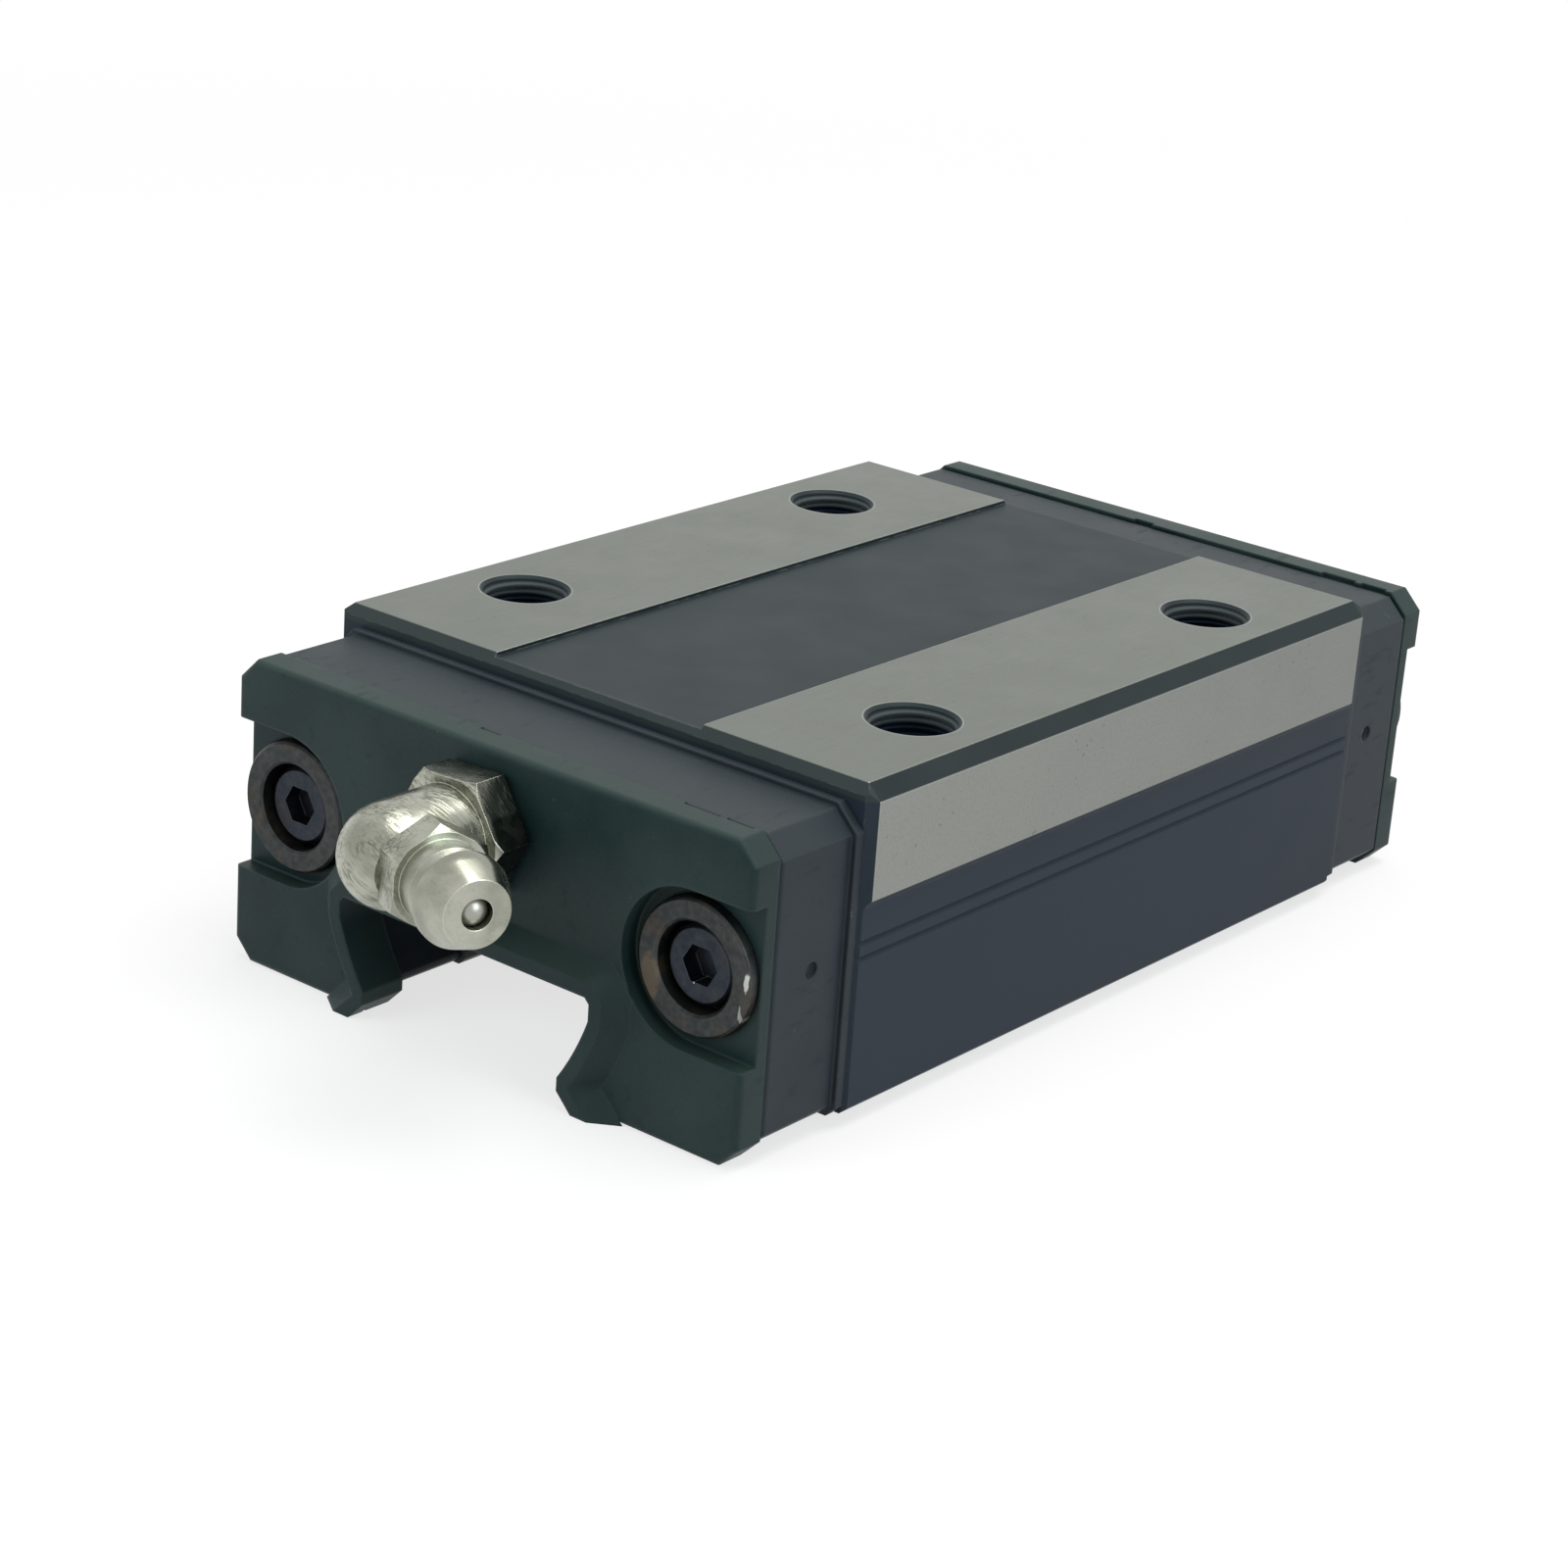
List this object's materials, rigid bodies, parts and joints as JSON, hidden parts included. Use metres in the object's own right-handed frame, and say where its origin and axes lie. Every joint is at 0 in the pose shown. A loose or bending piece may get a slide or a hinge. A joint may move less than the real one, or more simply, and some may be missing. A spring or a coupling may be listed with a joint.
{
  "type": "linear bearing block",
  "caption": "Recirculating-ball linear bearing carriage with moulded end caps, wiping end seals and an elbow grease nipple, to run on a profiled rail.",
  "frame": {"origin": "centre of the mounting face, in the middle of the four threaded holes", "axes": "+Z out of the mounting face, +Y along the travel towards the plugged rear end, +X across to the right, so the grease nipple is at -Y"},
  "size_m": [0.048, 0.0944, 0.0238],
  "materials": {
    "carriage_steel": "blackened, ground on the locating faces",
    "cap_plastic": "moulded, satin",
    "seal_plastic": "moulded, dark green satin",
    "ball_steel": "polished",
    "screw_steel": "black oxide",
    "collar_steel": "worn black oxide",
    "retainer_plastic": "moulded",
    "spring_steel": "drawn wire",
    "nipple_metal": "turned, nickel plated"
  },
  "bodies": {
    "carriage": {"carriage_block": "carriage_steel", "front_end_cap": "cap_plastic", "rear_end_cap": "cap_plastic", "front_end_seal": "seal_plastic", "rear_end_seal": "seal_plastic", "front_left_return_guide": "retainer_plastic", "front_left_screw": "screw_steel", "front_left_collar": "collar_steel", "front_right_return_guide": "retainer_plastic", "front_right_screw": "screw_steel", "front_right_collar": "collar_steel", "rear_left_return_guide": "retainer_plastic", "rear_left_screw": "screw_steel", "rear_left_collar": "collar_steel", "rear_right_return_guide": "retainer_plastic", "rear_right_screw": "screw_steel", "rear_right_collar": "collar_steel", "left_lower_retainer": "retainer_plastic", "left_corner_retainer": "retainer_plastic", "centre_retainer": "retainer_plastic", "right_corner_retainer": "retainer_plastic", "right_lower_retainer": "retainer_plastic", "nipple_elbow": "nipple_metal", "nipple_head": "nipple_metal", "nipple_spring": "spring_steel", "rear_grease_plug": "screw_steel"},
    "upper_left_load_row": {"upper_left_load_balls": "ball_steel"},
    "upper_left_return_row": {"upper_left_return_balls": "ball_steel"},
    "upper_left_front_turn": {"upper_left_front_turn_balls": "ball_steel"},
    "upper_left_rear_turn": {"upper_left_rear_turn_balls": "ball_steel"},
    "lower_left_load_row": {"lower_left_load_balls": "ball_steel"},
    "lower_left_return_row": {"lower_left_return_balls": "ball_steel"},
    "lower_left_front_turn": {"lower_left_front_turn_balls": "ball_steel"},
    "lower_left_rear_turn": {"lower_left_rear_turn_balls": "ball_steel"},
    "upper_right_load_row": {"upper_right_load_balls": "ball_steel"},
    "upper_right_return_row": {"upper_right_return_balls": "ball_steel"},
    "upper_right_front_turn": {"upper_right_front_turn_balls": "ball_steel"},
    "upper_right_rear_turn": {"upper_right_rear_turn_balls": "ball_steel"},
    "lower_right_load_row": {"lower_right_load_balls": "ball_steel"},
    "lower_right_return_row": {"lower_right_return_balls": "ball_steel"},
    "lower_right_front_turn": {"lower_right_front_turn_balls": "ball_steel"},
    "lower_right_rear_turn": {"lower_right_rear_turn_balls": "ball_steel"},
    "check_ball": {"nipple_check_ball": "ball_steel"}
  },
  "joints": [
    {"name": "upper_left_load_travel", "type": "slide", "parent": "carriage", "child": "upper_left_load_row", "axis": [0, 1, 0], "range_m": [-0.00213, 0.00213]},
    {"name": "upper_left_return_travel", "type": "slide", "parent": "carriage", "child": "upper_left_return_row", "axis": [0, 1, 0], "range_m": [-0.00213, 0.00213]},
    {"name": "upper_left_front_turning", "type": "hinge", "parent": "carriage", "child": "upper_left_front_turn", "pos_m": [-0.00867, -0.02975, -0.01103], "axis": [-0.7071, 0, -0.7071], "range_deg": [-30, 30]},
    {"name": "upper_left_rear_turning", "type": "hinge", "parent": "carriage", "child": "upper_left_rear_turn", "pos_m": [-0.00867, 0.02975, -0.01103], "axis": [0.7071, 0, 0.7071], "range_deg": [-30, 30]},
    {"name": "lower_left_load_travel", "type": "slide", "parent": "carriage", "child": "lower_left_load_row", "axis": [0, 1, 0], "range_m": [-0.00213, 0.00213]},
    {"name": "lower_left_return_travel", "type": "slide", "parent": "carriage", "child": "lower_left_return_row", "axis": [0, 1, 0], "range_m": [-0.00213, 0.00213]},
    {"name": "lower_left_front_turning", "type": "hinge", "parent": "carriage", "child": "lower_left_front_turn", "pos_m": [-0.01606, -0.02975, -0.0192], "axis": [0, 0, -1], "range_deg": [-30, 30]},
    {"name": "lower_left_rear_turning", "type": "hinge", "parent": "carriage", "child": "lower_left_rear_turn", "pos_m": [-0.01606, 0.02975, -0.0192], "axis": [0, 0, 1], "range_deg": [-30, 30]},
    {"name": "upper_right_load_travel", "type": "slide", "parent": "carriage", "child": "upper_right_load_row", "axis": [0, 1, 0], "range_m": [-0.00213, 0.00213]},
    {"name": "upper_right_return_travel", "type": "slide", "parent": "carriage", "child": "upper_right_return_row", "axis": [0, 1, 0], "range_m": [-0.00213, 0.00213]},
    {"name": "upper_right_front_turning", "type": "hinge", "parent": "carriage", "child": "upper_right_front_turn", "pos_m": [0.00867, -0.02975, -0.01103], "axis": [-0.7071, 0, 0.7071], "range_deg": [-30, 30]},
    {"name": "upper_right_rear_turning", "type": "hinge", "parent": "carriage", "child": "upper_right_rear_turn", "pos_m": [0.00867, 0.02975, -0.01103], "axis": [0.7071, 0, -0.7071], "range_deg": [-30, 30]},
    {"name": "lower_right_load_travel", "type": "slide", "parent": "carriage", "child": "lower_right_load_row", "axis": [0, 1, 0], "range_m": [-0.00213, 0.00213]},
    {"name": "lower_right_return_travel", "type": "slide", "parent": "carriage", "child": "lower_right_return_row", "axis": [0, 1, 0], "range_m": [-0.00213, 0.00213]},
    {"name": "lower_right_front_turning", "type": "hinge", "parent": "carriage", "child": "lower_right_front_turn", "pos_m": [0.01606, -0.02975, -0.0192], "axis": [0, 0, 1], "range_deg": [-30, 30]},
    {"name": "lower_right_rear_turning", "type": "hinge", "parent": "carriage", "child": "lower_right_rear_turn", "pos_m": [0.01606, 0.02975, -0.0192], "axis": [0, 0, -1], "range_deg": [-30, 30]},
    {"name": "check_ball_lift", "type": "slide", "parent": "carriage", "child": "check_ball", "axis": [-0.9239, 0.3827, 0], "range_m": [0, 0.0008], "stiffness_N_per_m": 300, "springref_m": -0.0005, "deforming": ["nipple_spring"]}
  ],
  "couplings": [
    {"joint": "upper_left_return_travel", "follows": "upper_left_load_travel", "ratio": -1},
    {"joint": "upper_left_front_turning", "follows": "upper_left_load_travel", "rad_per_m": -246.4},
    {"joint": "upper_left_rear_turning", "follows": "upper_left_load_travel", "rad_per_m": 246.4},
    {"joint": "lower_left_return_travel", "follows": "lower_left_load_travel", "ratio": -1},
    {"joint": "lower_left_front_turning", "follows": "lower_left_load_travel", "rad_per_m": -246.4},
    {"joint": "lower_left_rear_turning", "follows": "lower_left_load_travel", "rad_per_m": 246.4},
    {"joint": "upper_right_return_travel", "follows": "upper_right_load_travel", "ratio": -1},
    {"joint": "upper_right_front_turning", "follows": "upper_right_load_travel", "rad_per_m": -246.4},
    {"joint": "upper_right_rear_turning", "follows": "upper_right_load_travel", "rad_per_m": 246.4},
    {"joint": "lower_right_return_travel", "follows": "lower_right_load_travel", "ratio": -1},
    {"joint": "lower_right_front_turning", "follows": "lower_right_load_travel", "rad_per_m": -246.4},
    {"joint": "lower_right_rear_turning", "follows": "lower_right_load_travel", "rad_per_m": 246.4}
  ]
}
